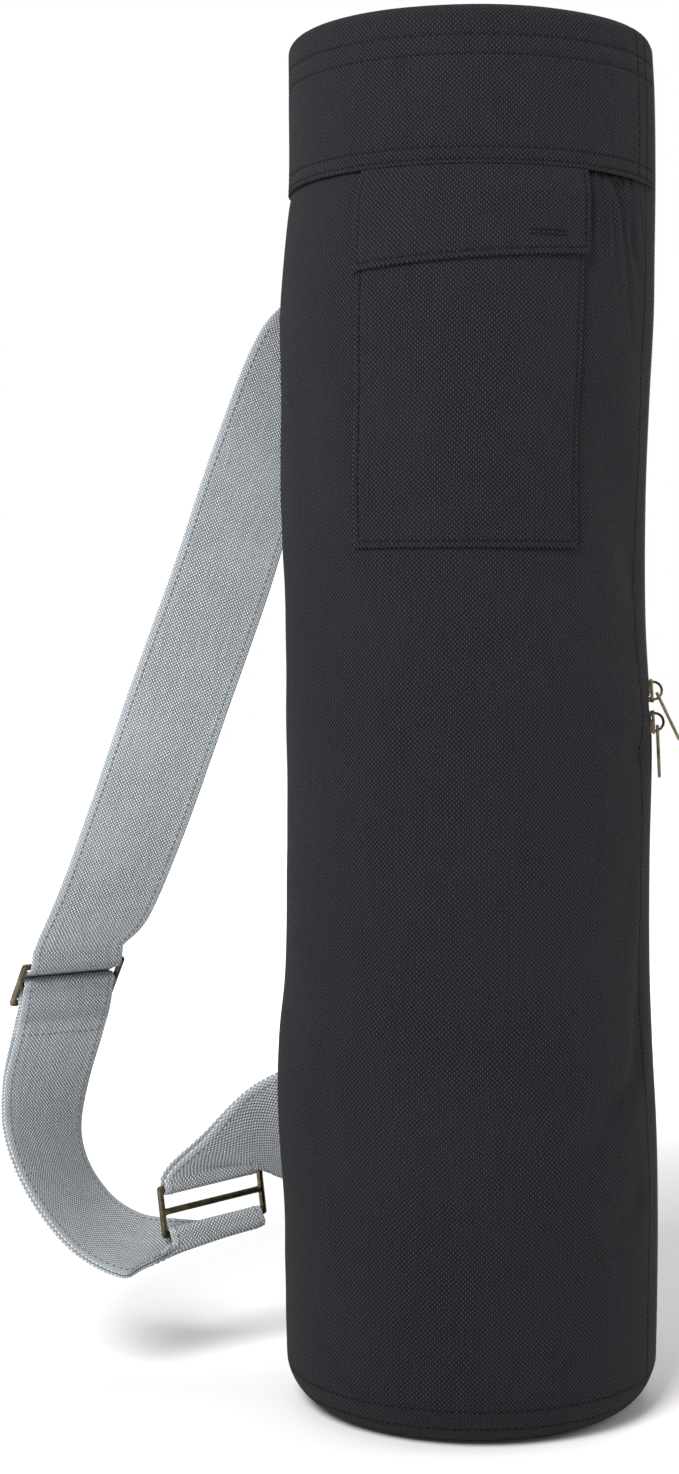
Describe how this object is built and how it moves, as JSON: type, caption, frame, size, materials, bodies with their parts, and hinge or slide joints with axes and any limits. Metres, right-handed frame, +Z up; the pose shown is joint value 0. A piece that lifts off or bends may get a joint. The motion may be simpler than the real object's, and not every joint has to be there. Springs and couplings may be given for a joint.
{
  "type": "yoga mat bag",
  "caption": "Tall round canvas bag for a rolled mat, with a full-length side zip, a flapped patch pocket and a wide adjustable shoulder strap with metal slides.",
  "frame": {"origin": "middle of the round base, on the surface that the bag stands on", "axes": "+Z up along the tube, -Y towards the pocket at the front, +X towards the zip side"},
  "size_m": [0.3386, 0.1841, 0.6702],
  "materials": {
    "charcoal_canvas": "matt heavy cotton canvas",
    "grey_canvas": "coarse woven cotton webbing",
    "zip_tape": "matt woven tape",
    "zip_coil": "nylon coil",
    "antique_brass": "antique, lightly polished"
  },
  "bodies": {
    "bag": {"body_panel": "charcoal_canvas", "top_band": "charcoal_canvas", "top_disc": "charcoal_canvas", "base_disc": "charcoal_canvas", "pocket": "charcoal_canvas", "pocket_flap": "charcoal_canvas", "zip_tape_front": "zip_tape", "zip_tape_back": "zip_tape", "zip_coil_upper": "zip_coil", "zip_coil_lower": "zip_coil", "zip_slider_upper": "antique_brass", "zip_slider_lower": "antique_brass", "shoulder_strap": "grey_canvas", "anchor_tab": "grey_canvas", "strap_slide_upper": "antique_brass", "strap_slide_lower": "antique_brass"},
    "upper_pull": {"zip_pull_upper": "antique_brass"},
    "lower_pull": {"zip_pull_lower": "antique_brass"}
  },
  "joints": [
    {"name": "upper_pull_lift", "type": "hinge", "parent": "bag", "child": "upper_pull", "pos_m": [0.08965, -0.00933, 0.35014], "axis": [-0.1045, -0.9945, 0], "range_deg": [0, 100]},
    {"name": "lower_pull_lift", "type": "hinge", "parent": "bag", "child": "lower_pull", "pos_m": [0.09046, -0.00936, 0.3347], "axis": [-0.1045, -0.9945, 0], "range_deg": [0, 38]}
  ]
}
